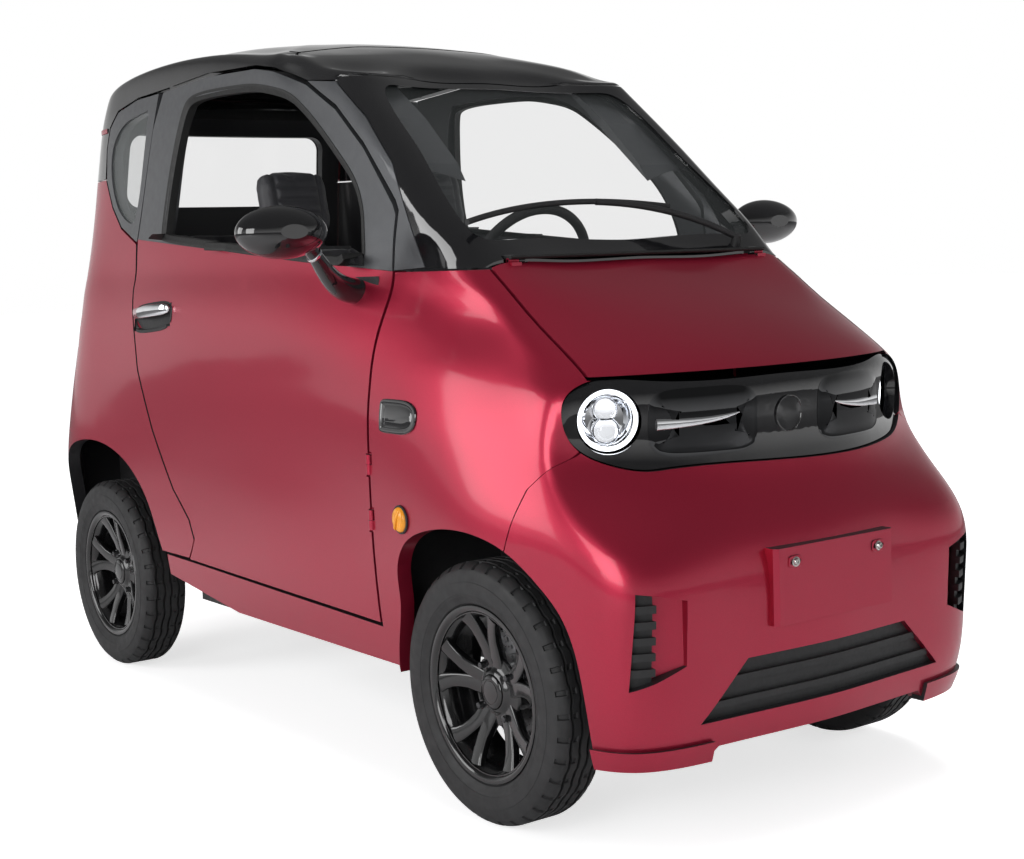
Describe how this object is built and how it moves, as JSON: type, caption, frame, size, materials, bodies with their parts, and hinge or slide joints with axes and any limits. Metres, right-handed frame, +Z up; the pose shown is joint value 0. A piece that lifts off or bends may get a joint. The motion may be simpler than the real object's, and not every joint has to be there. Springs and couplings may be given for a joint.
{
  "type": "two-door electric microcar",
  "caption": "Tall short electric microcar with hollow cabin, opening doors, bonnet and tailgate, steered front wheels and black roof over a red body.",
  "frame": {"origin": "on the ground below the middle of the length and width", "axes": "+X forward, +Y to the left, +Z up"},
  "size_m": [2.5376, 1.521, 1.619],
  "materials": {
    "body_paint": "metallic raspberry red",
    "gloss_black": "gloss black",
    "rim_black": "gloss black paint",
    "mirror_black": "gloss black",
    "grey_trim": "satin dark grey",
    "glass": "clear",
    "lamp_clear": "clear",
    "lamp_red": "clear red",
    "black_plastic": "matt black",
    "seat_cover": "soft",
    "iron": "painted black",
    "frame_steel": "black",
    "disc_steel": "turned",
    "tyre": "matt"
  },
  "bodies": {
    "body": {"battery_box": "black_plastic", "chassis_frame": "frame_steel", "dashboard": "black_plastic", "floor_tub": "black_plastic", "front_bumper": "body_paint", "front_seats": "seat_cover", "front_suspension": "iron", "grilles": "black_plastic", "headlamps": "lamp_clear", "lamp_band": "gloss_black", "pillar_trims": "grey_trim", "quarter_glasses": "glass", "quarter_panels": "body_paint", "quarter_surrounds": "grey_trim", "rear_axle": "iron", "rear_bumper": "body_paint", "rear_seat": "seat_cover", "roof_panel": "gloss_black", "screen_frame": "gloss_black", "tail_lamps": "lamp_red", "windshield": "glass", "wings": "body_paint", "wiper": "black_plastic"},
    "door_right": {"door_right": "body_paint", "door_frame_right": "grey_trim", "mirror_right": "mirror_black"},
    "knuckle_right": {"knuckle_right": "iron"},
    "wheel_front_right": {"tyre_front_right": "tyre", "rim_front_right": "rim_black", "brake_disc_front_right": "disc_steel"},
    "wheel_rear_right": {"tyre_rear_right": "tyre", "rim_rear_right": "rim_black", "brake_disc_rear_right": "disc_steel"},
    "door_left": {"door_left": "body_paint", "door_frame_left": "grey_trim", "mirror_left": "mirror_black"},
    "knuckle_left": {"knuckle_left": "iron"},
    "wheel_front_left": {"tyre_front_left": "tyre", "rim_front_left": "rim_black", "brake_disc_front_left": "disc_steel"},
    "wheel_rear_left": {"tyre_rear_left": "tyre", "rim_rear_left": "rim_black", "brake_disc_rear_left": "disc_steel"},
    "bonnet": {"bonnet": "body_paint"},
    "tailgate": {"tailgate": "body_paint", "rear_window": "glass"},
    "steering_wheel": {"steering_wheel": "black_plastic"}
  },
  "joints": [
    {"name": "door_right_hinge", "type": "hinge", "parent": "body", "child": "door_right", "pos_m": [0.51, -0.525, 0.56], "axis": [0, 0, 1], "range_deg": [0, 65]},
    {"name": "door_left_hinge", "type": "hinge", "parent": "body", "child": "door_left", "pos_m": [0.51, 0.525, 0.56], "axis": [0, 0, -1], "range_deg": [0, 65]},
    {"name": "bonnet_hinge", "type": "hinge", "parent": "body", "child": "bonnet", "pos_m": [0.751, 0, 1.057], "axis": [0, -1, 0], "range_deg": [0, 60]},
    {"name": "tailgate_hinge", "type": "hinge", "parent": "body", "child": "tailgate", "pos_m": [-1.081, 0, 1.492], "axis": [0, 1, 0], "range_deg": [0, 75]},
    {"name": "steer_right", "type": "hinge", "parent": "body", "child": "knuckle_right", "pos_m": [0.835, -0.37, 0.25], "axis": [0, 0, 1], "range_deg": [-28, 28]},
    {"name": "steer_left", "type": "hinge", "parent": "body", "child": "knuckle_left", "pos_m": [0.835, 0.37, 0.25], "axis": [0, 0, 1], "range_deg": [-28, 28]},
    {"name": "steering_wheel_turn", "type": "hinge", "parent": "body", "child": "steering_wheel", "pos_m": [0.101, 0.2, 1.02], "axis": [-0.9061, 0, 0.423], "range_deg": [-420, 420]},
    {"name": "wheel_front_right_spin", "type": "hinge", "parent": "knuckle_right", "child": "wheel_front_right", "pos_m": [0.835, -0.441, 0.25], "axis": [0, 1, 0], "continuous": true},
    {"name": "wheel_rear_right_spin", "type": "hinge", "parent": "body", "child": "wheel_rear_right", "pos_m": [-0.895, -0.441, 0.25], "axis": [0, 1, 0], "continuous": true},
    {"name": "wheel_front_left_spin", "type": "hinge", "parent": "knuckle_left", "child": "wheel_front_left", "pos_m": [0.835, 0.441, 0.25], "axis": [0, 1, 0], "continuous": true},
    {"name": "wheel_rear_left_spin", "type": "hinge", "parent": "body", "child": "wheel_rear_left", "pos_m": [-0.895, 0.441, 0.25], "axis": [0, 1, 0], "continuous": true}
  ],
  "couplings": [
    {"joint": "steer_left", "follows": "steer_right", "ratio": 1},
    {"joint": "steering_wheel_turn", "follows": "steer_right", "ratio": 15}
  ]
}
